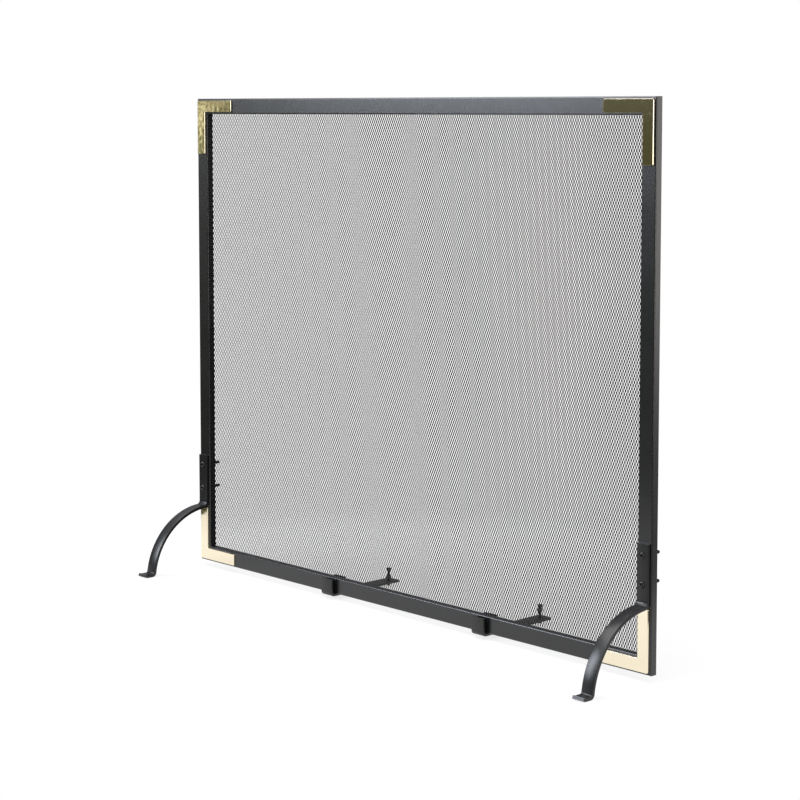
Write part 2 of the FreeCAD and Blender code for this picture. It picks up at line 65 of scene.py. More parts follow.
# %% Place the camera
CAMERA_PLACE = (2.2061, -2.0865, 0.7768)
CAMERA_HEADING = math.radians(46.624)
CAMERA_DIP = math.radians(4.859)

lens = bpy.data.cameras.new("camera")
lens.sensor_width = 36.0
lens.lens = 90.585
lens.shift_y = -0.15
camera = bpy.data.objects.new("camera", lens)
camera.location = CAMERA_PLACE
camera.rotation_euler = (math.pi / 2 - CAMERA_DIP, 0, CAMERA_HEADING)
bpy.context.scene.collection.objects.link(camera)
bpy.context.scene.camera = camera
bpy.context.scene.view_settings.view_transform = "Standard"

# %% [markdown]
# ## Shader maths that reads like maths
# Each finish below is a small net of nodes. Drawing nets by hand hides what they compute, so two
# small classes let us write them as expressions. A `Wire` is one output of a node. Adding or
# multiplying wires puts a Math node in the net. A `Recipe` owns a net, and its one method makes any
# other node from its type, its settings and what goes into its sockets.

# %% Wires and recipes
class Wire:
    """One output of a node, which can be added, scaled and compared like a number."""

    def __init__(self, recipe, socket):
        self.recipe = recipe
        self.socket = socket

    def math(self, operation, first, second=0.0):
        return self.recipe.node("ShaderNodeMath", {"operation": operation}, {0: first, 1: second})

    def __add__(self, other):
        return self.math("ADD", self, other)

    def __sub__(self, other):
        return self.math("SUBTRACT", self, other)

    def __rsub__(self, other):
        return self.math("SUBTRACT", other, self)

    def __mul__(self, other):
        return self.math("MULTIPLY", self, other)

    def __abs__(self):
        return self.math("ABSOLUTE", self)

    __radd__ = __add__
    __rmul__ = __mul__

    def ramp(self, start, end):
        """0 up to start, 1 from end on, and a smooth rise between them."""
        return self.recipe.node("ShaderNodeMapRange", {"interpolation_type": "SMOOTHSTEP"},
                                {"Value": self, "From Min": start, "From Max": end})


class Recipe:
    """Adds nodes to one node tree and hands back their outputs as wires."""

    def __init__(self, tree):
        self.tree = tree
        tree.nodes.clear()

    def node(self, kind, settings=None, inputs=None, output=0):
        made = self.tree.nodes.new(kind)
        for name, value in (settings or {}).items():
            setattr(made, name, value)
        for name, value in (inputs or {}).items():
            if isinstance(value, Wire):
                self.tree.links.new(value.socket, made.inputs[name])
            else:
                made.inputs[name].default_value = value
        return Wire(self, made.outputs[output]) if len(made.outputs) else None

    def blend(self, share, first, second):
        """The first colour where share is 0, and the second where it is 1."""
        return self.node("ShaderNodeMix", {"data_type": "RGBA"},
                         {0: share, 6: first, 7: second}, output=2)

    def noise(self, place, grain, detail=2.0):
        """Cloudy noise from 0 to 1 whose patches are about grain metres across."""
        return self.node("ShaderNodeTexNoise", {}, {"Vector": place, "Scale": 1 / grain,
                                                    "Detail": detail})


print("node helpers ready")

# %% [markdown]
# ## Pieces from rings of corners
# Nearly every piece of this screen was drawn, bent or turned, so it can be described by a section
# that travels along a line. In a mesh that is a stack of rings with the same number of corners. One
# helper joins the rings with faces, and the other turns corners and faces into an object. Lofting
# curves in the modeller would give the same shapes, but numbers are easier to repeat and to check.

# %% Corners and faces to an object
def new_piece(name, vertices, faces, material, smooth=False):
    """A mesh object from lists of corners and faces."""
    mesh = bpy.data.meshes.new(name)
    mesh.from_pydata(vertices, [], faces)
    mesh.validate()
    shape = bmesh.new()
    shape.from_mesh(mesh)
    bmesh.ops.recalc_face_normals(shape, faces=shape.faces)
    shape.to_mesh(mesh)
    shape.free()
    mesh.materials.append(material)
    if smooth:
        mesh.shade_smooth()
        mesh.set_sharp_from_angle(angle=math.radians(35))
    piece = bpy.data.objects.new(name, mesh)
    bpy.context.scene.collection.objects.link(piece)
    return piece


def tube_faces(rings, sides, start=0, closed=False):
    """Faces between rings of so many corners, with flat ends, or joined up when closed."""
    ring = np.arange(rings if closed else rings - 1)[:, None]
    side = np.arange(sides)[None, :]
    above = (ring + 1) % rings
    after = (side + 1) % sides
    walls = np.stack([ring * sides + side, ring * sides + after,
                      above * sides + after, above * sides + side], axis=2)
    faces = (walls.reshape(-1, 4) + start).tolist()
    if not closed:
        last = start + sides * (rings - 1)
        faces += [list(range(start + sides - 1, start - 1, -1)), list(range(last, last + sides))]
    return faces


print("piece helpers ready")

# %% [markdown]
# ## The studio
# Polished brass and satin paint show whatever stands around them, so the room matters as much as the
# finish. We start with the floor. A white paper disc lies under the screen and fades into plain
# white light towards its rim, so no edge shows. The paper gives off light of its own as well, which
# keeps the contact shadows pale.

# %% Paper disc under the screen
PAPER_RADIUS = 0.88
PAPER_SIDES = 96
PAPER_BELOW = 0.0002
PAPER_GREY = 0.18
PAPER_GLOW = 0.78
FADE_STARTS = 0.62
FADE_ENDS = 0.98 * PAPER_RADIUS


def white_paper():
    """Diffuse paper that turns into plain white light towards its rim."""
    material = bpy.data.materials.new("white_paper")
    material.use_nodes = True
    recipe = Recipe(material.node_tree)
    place = recipe.node("ShaderNodeTexCoord", output="Object")
    from_centre = recipe.node("ShaderNodeVectorMath", {"operation": "LENGTH"}, {0: place}, output=1)
    rim = from_centre.ramp(FADE_STARTS, FADE_ENDS)
    grey = (PAPER_GREY, PAPER_GREY, PAPER_GREY, 1)
    white = (1, 1, 1, 1)
    paper = recipe.node("ShaderNodeBsdfDiffuse", {}, {"Color": grey})
    lift = recipe.node("ShaderNodeEmission", {}, {"Color": white, "Strength": PAPER_GLOW})
    lit = recipe.node("ShaderNodeAddShader", {}, {0: paper, 1: lift})
    plain = recipe.node("ShaderNodeEmission", {}, {"Color": white, "Strength": 1.0})
    mixed = recipe.node("ShaderNodeMixShader", {}, {0: rim, 1: lit, 2: plain})
    recipe.node("ShaderNodeOutputMaterial", {}, {"Surface": mixed})
    return material


turns = [2 * math.pi * side / PAPER_SIDES for side in range(PAPER_SIDES)]
rim_points = [(PAPER_RADIUS * math.cos(turn), PAPER_RADIUS * math.sin(turn), -PAPER_BELOW)
              for turn in turns]
paper = new_piece("paper_floor", rim_points, [tuple(range(PAPER_SIDES))], white_paper())
print("paper disc", 2 * PAPER_RADIUS, "m across")

# %% [markdown]
# The room is only ever seen in reflections, because rays straight from the camera see plain white.
# It is described by direction: grey behind the screen, bright overhead, and dark olive in front,
# where the camera stands. A band of cluttered shelves is far to the left. It is what the top left
# plate mirrors, and what makes that plate look mottled.

# %% The room seen in reflections
DARK_SIDE = (0.074, 0.075, 0.038, 1)
BACKDROP = (0.30, 0.30, 0.32, 1)
CEILING = (0.85, 0.86, 0.88, 1)
SHELVES_DARK = (0.06, 0.085, 0.02, 1)
SHELVES_LIT = (1.45, 1.36, 0.96, 1)
SHELF_GRAIN = 0.016

world = bpy.data.worlds.new("studio")
world.use_nodes = True
room = Recipe(world.node_tree)
towards = room.node("ShaderNodeTexCoord", output="Generated")
axes = [room.node("ShaderNodeSeparateXYZ", {}, {0: towards}, output=axis) for axis in range(3)]
right, back, up = axes
clutter = room.noise(towards, SHELF_GRAIN, detail=1.0).ramp(0.45, 0.56)
shelves = room.blend(clutter, SHELVES_DARK, SHELVES_LIT)
far_left = (-0.02 - right).ramp(0.755, 0.77)
near_level = (0.05 - abs(up)).ramp(0.0, 0.02)
in_front = (-0.3 - back).ramp(0.0, 0.05)
front_room = room.blend(far_left * near_level * in_front, DARK_SIDE, shelves)
with_back = room.blend(back.ramp(-0.10, 0.35), front_room, BACKDROP)
with_top = room.blend(up.ramp(0.30, 0.80), with_back, CEILING)
camera_ray = room.node("ShaderNodeLightPath", output="Is Camera Ray")
seen = room.blend(camera_ray, with_top, (1, 1, 1, 1))
light = room.node("ShaderNodeBackground", {}, {"Color": seen, "Strength": 1.0})
room.node("ShaderNodeOutputWorld", {}, {"Surface": light})
bpy.context.scene.world = world
print("room", len(world.node_tree.nodes), "nodes")

# %% [markdown]
# Four soft boxes do the shaping. The large one overhead lights the paper. The one at the front left
# stands just above the line in which the brass mirrors the room, so it puts a sheen on the satin
# rails and leaves the plates dark. The one behind on the right draws the side of the frame, and a
# narrow one beside the camera draws a line of light along the rounded edges of the brass. An area
# light's power is spread over its size, so it is worked out here from how bright its face should be.

# %% Soft boxes
def soft_box(name, place, aim, width, height, brightness, tint=(1, 1, 1)):
    """Rectangular light at a place, facing a point, whose face has the given brightness."""
    lamp = bpy.data.lights.new(name, "AREA")
    lamp.color = tint
    lamp.shape = "RECTANGLE"
    lamp.size = width
    lamp.size_y = height
    lamp.energy = brightness * math.pi * width * height
    box = bpy.data.objects.new(name, lamp)
    box.location = place
    box.rotation_euler = (Vector(aim) - Vector(place)).to_track_quat("-Z", "Y").to_euler()
    box.visible_camera = False
    bpy.context.scene.collection.objects.link(box)
    return box


soft_box("overhead_box", (-0.45, -0.40, 2.3), (-0.2, -0.1, 0), 3.2, 1.8, 3.6)
soft_box("front_left_box", (-2.30, -2.55, 1.80), (0, 0, 0.75), 1.35, 1.75, 14.0, (0.88, 0.94, 1.04))
soft_box("back_right_box", (2.0, 2.3, 1.0), (0.2, 0, 0.5), 2.4, 1.9, 2.1, (1.0, 0.97, 0.93))
soft_box("right_box", (2.5, -0.75, 0.85), (0, 0, 0.5), 1.2, 1.5, 6.0, (1.0, 0.97, 0.90))
print("4 soft boxes")

# %% [markdown]
# ## Powder coat on the tubes
# The steel is powder coated: dry paint is blown on and baked, which leaves a satin black skin with a
# faint orange peel about a millimetre across, and a film that is a little thicker in some places
# than in others. Both are noise at their real scale. At each corner the tubes are mitred and welded
# and the weld is ground flush, so a fine line is left, which comes from how far a point is from the
# diagonal.

# %% Powder coat
FILM_PATCH = 0.045
PEEL_GRAIN = 0.0011
PEEL_DEPTH = 0.000008


class Finish(Recipe):
    """A new material, with the place on the object ready as a wire."""

    def __init__(self, name):
        self.material = bpy.data.materials.new(name)
        self.material.use_nodes = True
        super().__init__(self.material.node_tree)
        self.place = self.node("ShaderNodeTexCoord", output="Object")

    def bump(self, height, depth):
        """Surface relief: height from 0 to 1 stands for depth in metres."""
        return self.node("ShaderNodeBump", {}, {"Strength": 1.0, "Distance": depth, "Height": height})

    def surface(self, **sockets):
        """Close the recipe with a Principled shader. Names use _ for a space."""
        inputs = {name.replace("_", " "): value for name, value in sockets.items()}
        shader = self.node("ShaderNodeBsdfPrincipled", {}, inputs)
        self.node("ShaderNodeOutputMaterial", {}, {"Surface": shader})
        return self.material


def powder_coat(name, thin, thick, roughness, sheen, relief=None):
    """Satin baked paint, with its colours where the film is thin and where it is thick."""
    coat = Finish(name)
    film = coat.noise(coat.place, FILM_PATCH, detail=3.0)
    peel = coat.noise(coat.place, PEEL_GRAIN, detail=1.0)
    height = peel if relief is None else peel + relief(coat)
    return coat.surface(Base_Color=coat.blend(film, thin, thick), Specular_IOR_Level=sheen,
                        Roughness=film * 0.06 + peel * 0.04 + (roughness - 0.05),
                        Normal=coat.bump(height, PEEL_DEPTH))


def mitre_line(coat):
    """A shallow line along the diagonal of each corner of the frame."""
    x, z = (coat.node("ShaderNodeSeparateXYZ", {}, {0: coat.place}, output=i) for i in (0, 2))
    low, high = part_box("left_stile")
    middle, half_height = (low.z + high.z) / 2, (high.z - low.z) / 2
    to_side = -low.x - abs(x)
    to_end = half_height - abs(z - middle)
    return abs(to_side - to_end).ramp(0.0002, 0.0006) * 6.0


frame_coat = powder_coat("frame_powder_coat", thin=(0.0048, 0.0050, 0.0058, 1),
                         thick=(0.0068, 0.0070, 0.0080, 1), roughness=0.27, sheen=0.62,
                         relief=mitre_line)
leg_coat = powder_coat("leg_powder_coat", thin=(0.0055, 0.0056, 0.0064, 1),
                       thick=(0.0085, 0.0085, 0.0095, 1), roughness=0.30, sheen=0.38)
support_coat = powder_coat("support_powder_coat", thin=(0.010, 0.010, 0.009, 1),
                           thick=(0.016, 0.016, 0.014, 1), roughness=0.40, sheen=0.40)
print("3 powder coats")

# %% [markdown]
# ## Brass, zinc and black oxide
# The corner plates are solid brass, polished on a wheel and lacquered. Wheel polishing leaves the
# face very slightly wavy and covers it in hair-fine lines, so a busy reflection breaks up while a
# plain one stays calm. The fixing screws behind are zinc plated, with a cloudy grey skin. The bolts
# are blackened steel, which is smoother and darker than the paint.

# %% Brass, zinc and black oxide
WAVE_LENGTH = 0.0080
WAVE_DEPTH = 0.000050
HAIR_LINE = 0.00045


def polished_brass():
    """Wheel polished brass under lacquer."""
    brass = Finish("polished_brass")
    waves = brass.noise(brass.place, WAVE_LENGTH, detail=0.0)
    stretched = brass.node("ShaderNodeVectorMath", {"operation": "MULTIPLY"},
                           {0: brass.place, 1: (1.0, 1.0, 0.06)})
    lines = brass.noise(stretched, HAIR_LINE, detail=2.0)
    tone = brass.noise(brass.place, 0.03, detail=2.0)
    relief = waves + lines * 0.004
    return brass.surface(Base_Color=brass.blend(tone, (0.87, 0.775, 0.575, 1), (0.90, 0.81, 0.63, 1)),
                         Metallic=1.0, Roughness=lines * 0.03 + 0.045, Coat_Weight=0.25,
                         Coat_Roughness=0.04, Normal=brass.bump(relief, WAVE_DEPTH))


def zinc_plate():
    """Cloudy grey plating."""
    zinc = Finish("zinc_plate")
    cloud = zinc.noise(zinc.place, 0.0016, detail=3.0)
    return zinc.surface(Base_Color=zinc.blend(cloud, (0.50, 0.51, 0.50, 1), (0.66, 0.66, 0.62, 1)),
                        Metallic=1.0, Roughness=cloud * 0.16 + 0.28,
                        Normal=zinc.bump(cloud, 0.00001))


def black_oxide():
    """Blackened and oiled steel."""
    oxide = Finish("black_oxide")
    cloud = oxide.noise(oxide.place, 0.0022, detail=3.0)
    return oxide.surface(Base_Color=oxide.blend(cloud, (0.008, 0.008, 0.009, 1),
                                                (0.018, 0.017, 0.017, 1)),
                         Metallic=0.35, Roughness=cloud * 0.10 + 0.18,
                         Normal=oxide.bump(cloud, 0.000008))


brass, zinc, oxide = polished_brass(), zinc_plate(), black_oxide()
FINISHES = {"frame_paint": frame_coat, "leg_paint": leg_coat, "support_paint": support_coat,
            "polished_brass": brass, "screw_steel": zinc, "bolt_black": oxide,
            "mesh_paint": frame_coat}
for part in frame["record"]["subparts"]:
    node = frame["nodes"][part["node"]]
    for place in node.material_slots:
        place.material = FINISHES[part["material_slot"]]
print("finishes on", len(frame["nodes"]), "CAD nodes")

# %% [markdown]
# ## Corner plates with pillowed edges
# The polishing wheel wraps round the edge of a plate and wears it away, so a polished plate always
# ends in a soft round edge, and that edge draws a bright line round it. Each plate is built as
# outlines stacked one above the other, each a little smaller than the last, along a quarter circle.
# The wheel ran up and down, so the upright edges are worn rounder than the level ones. The flat
# face must stay perfectly flat to mirror the room, so its shading isn't smoothed.

# %% Corner plates
PLATE_ARM = 19.05
PLATE_CORNER = 2.6
PILLOW = 1.5
PILLOW_ALONG = 0.25


def plate_outline(length, inset):
    """An L with its corner at the origin, drawn inset from its edge, rounded at every corner."""
    low, arm, high = inset, PLATE_ARM - inset, length - inset
    foot, shelf, top = (edge + (PILLOW_ALONG - 1) * inset * way
                        for edge, way in ((low, 1), (arm, -1), (high, -1)))
    corners = [((low, foot), 1), ((high, foot), 1), ((high, shelf), 1), ((arm, shelf), -1),
               ((arm, top), 1), ((low, top), 1)]
    points = []
    for number, (corner, way) in enumerate(corners):
        corner = np.array(corner)
        before = np.array(corners[number - 1][0]) - corner
        after = np.array(corners[(number + 1) % 6][0]) - corner
        before, after = before / np.linalg.norm(before), after / np.linalg.norm(after)
        radius = {0: PLATE_CORNER, 3: 0.5}.get(number, 1.7)
        radius = max(radius - way * inset, 0.08)
        middle = corner + radius * (before + after)
        for turn in np.linspace(0, math.pi / 2, 7):
            points.append(middle - radius * (after * math.cos(turn) + before * math.sin(turn)))
    return np.array(points)


for row in ("bottom", "top"):
    for side in ("left", "right"):
        node = f"{row}_{side}_corner_plate"
        low, high = (1000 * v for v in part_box(node))
        sideways, upwards = (1 if side == "left" else -1), (1 if row == "bottom" else -1)
        x = low.x if side == "left" else high.x
        z = low.z if row == "bottom" else high.z
        levels = [(0.0, high.y), (0.0, low.y + PILLOW)]
        levels += [(PILLOW * (1 - math.cos(a)), low.y + PILLOW * (1 - math.sin(a)))
                   for a in np.radians(np.arange(12, 91, 6.5))]
        corners = []
        for inset, y in levels:
            outline = plate_outline(high.x - low.x, inset)
            corners += [(x + sideways * u, y, z + upwards * v) for u, v in outline]
        faces = tube_faces(len(levels), 42)
        plate = new_piece(f"{row}_{side}_plate", (np.array(corners) / 1000).tolist(), faces, brass,
                          smooth=True)
        for face in plate.data.polygons:
            face.use_smooth = len(face.vertices) == 4
        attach(plate, "screen")
        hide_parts(node)
print("4 corner plates", round(high.x - low.x, 2), "mm long")

# %% [markdown]
# ## Legs and supports, bent from flat bar
# Each leg is one strip of flat steel, bent cold round three formers: a small one under the frame, a
# wide one for the sweep and a small one again for the heel. The CAD model follows these bends with
# short flats, which would glint one by one in satin paint. Here the same centre line is followed in
# steps of two degrees instead, and a section with rounded edges is swept along it. A curve object
# with a bevel profile would do it too, but a swept mesh keeps the flat of the bar exactly upright.

# %% Sweep a section along a path
def arc(middle, radius, start, end, step=2.0):
    """Points of an arc in the side view, from start to end in degrees above the way back."""
    turns = np.radians(np.linspace(start, end, math.ceil(abs(end - start) / step) + 1))
    return [(middle[0] + radius * math.cos(t), middle[1] + radius * math.sin(t)) for t in turns]


def bent_bar(name, x, path, width, thickness, edge, material):
    """Flat bar along a centre line of (y, z), in millimetres, with its long edges rounded."""
    line = np.array([p for i, p in enumerate(path) if i == 0 or math.dist(p, path[i - 1]) > 1e-4])
    ways = np.gradient(line, axis=0)
    ways /= np.linalg.norm(ways, axis=1)[:, None]
    section = []
    for wide, deep, first in ((1, 1, 0), (-1, 1, 90), (-1, -1, 180), (1, -1, 270)):
        for turn in (0, 30, 60, 90):
            a = math.radians(first + turn)
            section.append((wide * (width / 2 - edge) + edge * math.cos(a),
                            deep * (thickness / 2 - edge) + edge * math.sin(a)))
    corners = [(x + u, y - v * way_z, z + v * way_y)
               for (y, z), (way_y, way_z) in zip(line, ways) for u, v in section]
    faces = tube_faces(len(line), len(section))
    return new_piece(name, (np.array(corners) / 1000).tolist(), faces, material, smooth=True)


# %% [markdown]
# The sweep of the leg is nearly a quarter circle of 113 mm. Its toe turns up a little, so that it
# slides over a hearth rug instead of catching in it. The support is simpler: a short lip hooks in
# front of the bottom rail, and the rest lies flat. All numbers are millimetres back from the face of
# the screen and up from the floor.

# %% Legs and supports
FACE = 1000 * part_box("bottom_rail")[0].y
BEND_RADIUS, SWEEP_RADIUS, HEEL_RADIUS, RISE_RADIUS = 8.5, 113.0, 5.0, 16.0
SWEEP = (-2.0, -9.0)
HEEL_HEIGHT, TOE_ANGLE = 7.5, 25.0
across = SWEEP[0] + 11.0
BEND = (-11.0, SWEEP[1] + math.sqrt((SWEEP_RADIUS + BEND_RADIUS) ** 2 - across ** 2))
above = HEEL_HEIGHT - SWEEP[1]
HEEL = (SWEEP[0] - math.sqrt((SWEEP_RADIUS + HEEL_RADIUS) ** 2 - above ** 2), HEEL_HEIGHT)
RISE = (RISE_RADIUS * math.sin(math.radians(TOE_ANGLE)) - 133.5, 18.5)
bend_turn = math.degrees(math.atan2(BEND[1] - SWEEP[1], across))
LEG = ([(-2.5, 191.0), (-2.5, 150.0), (-2.5, BEND[1] + 1.0)]
       + arc(BEND, BEND_RADIUS, 0.0, -bend_turn, 6.0)
       + arc(SWEEP, SWEEP_RADIUS, 180.0 - bend_turn, 171.96)
       + arc(HEEL, HEEL_RADIUS, -8.04, -90.0, 8.0)
       + arc(RISE, RISE_RADIUS, -90.0, -90.0 - TOE_ANGLE, 4.0))
SUPPORT = ([(-6.2, 32.5), (-6.2, 13.0)] + arc((-1.7, 12.0), 4.5, 180.0, 270.0, 8.0)
           + [(0.0, 7.5), (70.0, 7.5), (139.0, 7.5)])
LEG_BAR = (20.0, 5.0, 0.7)
SUPPORT_BAR = (24.5, 4.0, 0.6)


def middle_x(node):
    """Where a CAD node is centred across the screen, in millimetres."""
    low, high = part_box(node)
    return 1000 * (low.x + high.x) / 2


for side in ("left", "right"):
    leg = bent_bar(f"{side}_leg_bar", middle_x(f"{side}_front_leg"),
                   [(y + FACE, z) for y, z in LEG], *LEG_BAR, leg_coat)
    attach(leg, "screen")
    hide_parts(f"{side}_front_leg")
    support = bent_bar(f"{side}_support_flat", middle_x(f"{side}_support_bar"),
                       [(y + FACE, z) for y, z in SUPPORT], *SUPPORT_BAR, support_coat)
    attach(support, f"{side}_support")
    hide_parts(f"{side}_support_bar")
    for piece, node in ((leg, f"{side}_front_leg"), (support, f"{side}_support_bar")):
        corners = np.array([corner.co for corner in piece.data.vertices])
        swept_box = (corners.min(0), corners.max(0))
        for kind, (lowest, highest) in (("CAD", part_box(node)), ("swept", swept_box)):
            print(piece.name, kind, [round(1000 * v, 2) for v in (*lowest, *highest)])

# %% [markdown]
# The upstand that stops each support from sliding too far is a short offcut of flat bar, welded on
# along its foot. A Bevel modifier rounds the edges of the CAD part, and leaves its mesh alone. The
# weld is a bead of overlapping drops, one for each time the welder paused, so its radius swells and
# shrinks every 2.5 mm.

# %% Upstands and their welds
EDGE_ROUND = 0.0006
BEAD_RADIUS, BEAD_SWELL, BEAD_STEP = 1.25, 0.35, 2.5
BEAD_SHORT = 1.2
BEAD_END = 0.4
BEAD_RINGS, BEAD_SIDES = 56, 12

for side in ("left", "right"):
    upstand = frame["nodes"][f"{side}_support_upstand"]
    rounding = upstand.modifiers.new("rounded_edges", "BEVEL")
    rounding.width = EDGE_ROUND
    rounding.segments = 3
    rounding.limit_method = "ANGLE"
    rounding.angle_limit = math.radians(50)
    low, high = (1000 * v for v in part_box(f"{side}_support_upstand"))
    for face, y in (("front", low.y), ("rear", high.y)):
        along = np.linspace(low.x + BEAD_SHORT, high.x - BEAD_SHORT, BEAD_RINGS)
        swell = BEAD_RADIUS + BEAD_SWELL * abs(np.sin(math.pi * (along - low.x) / BEAD_STEP))
        swell[[0, -1]] = BEAD_END
        turn = np.radians(np.arange(BEAD_SIDES) * 360 / BEAD_SIDES)
        ring = np.stack([0 * turn, np.cos(turn), np.sin(turn)], axis=1)
        centre = np.stack([along, 0 * along + y, 0 * along + low.z], axis=1)
        corners = ring[None] * swell[:, None, None] + centre[:, None]
        bead = new_piece(f"{side}_weld_{face}", (corners.reshape(-1, 3) / 1000).tolist(),
                         tube_faces(BEAD_RINGS, BEAD_SIDES), support_coat, smooth=True)
        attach(bead, f"{side}_support")
print("upstands welded")

# %% [markdown]
# ## Bolts, nuts and screws
# Everything here was turned on a lathe, so one helper is enough: it stacks rings along an axis. A
# radius may change round a ring, and that gives the two shapes that aren't round. A hexagon is a
# radius that grows towards six corners. A thread is a radius that dips where the cutter passed, and
# the dip moves one pitch along for every turn.

# %% Lathe, hexagon and thread
SIDES = 48
ROUND = np.arange(SIDES) * 2 * math.pi / SIDES
PITCH = 0.8
THREAD_DEPTH = 0.45


def turned(name, place, along, rings, material, closed=False):
    """Rings of (height, radius) along an axis. All sizes are millimetres."""
    along = np.array(along, float)
    across = np.array((1.0, 0.0, 0.0))
    other = np.cross(along, across)
    spokes = np.cos(ROUND)[:, None] * across + np.sin(ROUND)[:, None] * other
    corners = np.concatenate([np.array(place) + height * along
                              + spokes * np.broadcast_to(radius, SIDES)[:, None]
                              for height, radius in rings])
    faces = tube_faces(len(rings), SIDES, closed=closed)
    return new_piece(name, (corners / 1000).tolist(), faces, material, smooth=True)


def hexagon(across_flats):
    """Radius round a hexagon."""
    return across_flats / 2 / np.cos(ROUND % (math.pi / 3) - math.pi / 6)


def thread(start, end, radius):
    """Rings of a thread with flat crests."""
    rings = []
    for height in np.arange(start, end, PITCH / 8):
        turn = (height / PITCH - ROUND / (2 * math.pi)) % 1
        groove = (1.3 * (1 - abs(2 * turn - 1)) - 0.2).clip(0, 1)
        rings.append((height, radius - THREAD_DEPTH * groove))
    return rings


def nut_rings(across_flats, height, bore):
    """Rings round a hexagon nut, with its corners turned down at both ends."""
    corner = hexagon(across_flats)
    cut = np.minimum(corner, across_flats * 0.485)
    return [(0, bore + 0.3), (0, cut), (0.42, corner), (height - 0.42, corner),
            (height, cut), (height, bore + 0.3), (height - 0.3, bore), (0.3, bore)]


def stand_in(piece, body, material_slot, *nodes):
    """The piece moves with a body, and takes the place of CAD nodes if any are named."""
    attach(piece, body)
    if nodes:
        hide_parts(*nodes)
    return piece


# %% [markdown]
# The legs are held by button head bolts with a 3 mm hexagon socket. They are pushed in from the
# front, so only the polished dome shows, while the thread, a washer and a nut come out behind.

# %% Leg bolts
HEAD = [(0, 4.75), (0.7, 4.75), (1.15, 4.62), (1.6, 4.38), (2.02, 4.04), (2.4, 3.5),
        (2.65, 3.0), (2.8, 2.61), (2.8, hexagon(3.0) + 0.12), (2.65, hexagon(3.0)),
        (1.2, hexagon(3.0)), (0.9, 0.02)]
SHANK = [(0, 2.5), (1.0, 2.5)] + thread(1.0, 34.2, 2.5) + [(34.4, 2.1), (35.0, 1.9)]
for side in ("left", "right"):
    for level, z in (("upper", 175.0), ("lower", 135.0)):
        bolt = f"{side}_leg_{level}"
        x = middle_x(f"{bolt}_bolt")
        head = turned(f"{bolt}_head", (x, FACE - 5.0, z), (0, -1, 0), HEAD, oxide)
        stand_in(head, "screen", "bolt_black", f"{bolt}_bolt")
        shank = turned(f"{bolt}_shank", (x, FACE - 5.0, z), (0, 1, 0), SHANK, oxide)
        stand_in(shank, "screen", "bolt_black")
        rear = 1000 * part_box(f"{bolt}_washer")[0].y
        washer = turned(f"{bolt}_ring", (x, rear, z), (0, 1, 0),
                        [(0, 2.75), (0, 4.85), (0.15, 5.0), (0.85, 5.0), (1.0, 4.85), (1.0, 2.75)],
                        oxide, closed=True)
        stand_in(washer, "screen", "bolt_black", f"{bolt}_washer")
        nut = turned(f"{bolt}_hexagon", (x, rear + 1.0, z), (0, 1, 0), nut_rings(8.0, 4.0, 2.55),
                     oxide, closed=True)
        stand_in(nut, "screen", "bolt_black", f"{bolt}_nut")
print("4 leg bolts with washers and nuts")

# %% [markdown]
# A levelling screw stands in the tail of each support. Its head flares out above the bar and has a
# slot for a coin. The slot is a box taken out of the head with a Boolean modifier, which is applied
# at once, so that no cutter stays behind in the scene.

# %% Levelling screws and lock nuts
FLARE = [(22.0, 2.5), (23.0, 2.5), (24.6, 3.0), (26.2, 3.75), (27.8, 4.42), (27.95, 4.5),
         (28.25, 4.5), (28.45, 4.42), (29.0, 3.9)]


def cut_slot(piece, x, y, top, width, depth):
    """Saw a slot through the head, along the support."""
    bpy.ops.mesh.primitive_cube_add(size=1, location=(x / 1000, y / 1000, top / 1000))
    cutter = bpy.context.active_object
    cutter.scale = (width / 1000, 0.02, 2 * depth / 1000)
    sawing = piece.modifiers.new("slot", "BOOLEAN")
    sawing.operation = "DIFFERENCE"
    sawing.object = cutter
    bpy.context.view_layer.update()
    shaped = piece.evaluated_get(bpy.context.evaluated_depsgraph_get())
    piece.data = bpy.data.meshes.new_from_object(shaped)
    piece.modifiers.clear()
    bpy.data.objects.remove(cutter)


for side in ("left", "right"):
    x = middle_x(f"{side}_levelling_screw")
    low, high = (1000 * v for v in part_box(f"{side}_levelling_screw"))
    y = (low.y + high.y) / 2
    shank = turned(f"{side}_screw_thread", (x, y, low.z), (0, 0, 1),
                   [(0, 1.7), (0.6, 2.2)] + thread(0.7, 21.8, 2.5) + [(22.0, 2.45)], oxide)
    stand_in(shank, f"{side}_screw", "bolt_black", f"{side}_levelling_screw")
    head = turned(f"{side}_screw_head", (x, y, low.z), (0, 0, 1), FLARE, oxide)
    cut_slot(head, x, y, high.z, 1.2, 1.3)
    stand_in(head, f"{side}_screw", "bolt_black")
    foot = 1000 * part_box(f"{side}_lock_nut")[0].z
    nut = turned(f"{side}_lock_hexagon", (x, y, foot), (0, 0, 1), nut_rings(8.0, 4.0, 2.55),
                 oxide, closed=True)
    stand_in(nut, f"{side}_screw", "bolt_black", f"{side}_lock_nut")
print("2 levelling screws")

# %% [markdown]
# ## Expanded mesh
# Expanded mesh isn't woven. A sheet is slit in rows and pulled sideways, so that it opens into
# diamonds, and nothing is cut away. What is left is a set of upright strands that zigzag, each
# joined by turns to the strand on its left and on its right. Pulling also turns every strand a
# little, which is why the mesh looks denser from one side than from the other. A modeller could
# repeat one diamond with array modifiers, but one strand is simpler: a flat bar whose path steps
# left and right, wide at each join and narrow between, made in numpy and repeated across the panel.

# %% Strand geometry
panel_low, panel_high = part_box("mesh_panel")
DIAMOND_WIDTH = 0.00450
DIAMOND_HEIGHT = 0.0090
JOIN_WIDTH = 0.00194
STRAND_WIDTH = 0.00060
STRAND_THICKNESS = 0.00058
STRAND_TURN = math.radians(-27)
JOIN_LENGTH = 0.0023
JOIN_OVERLAP = 0.96
SIDE_STEP = 0.00115

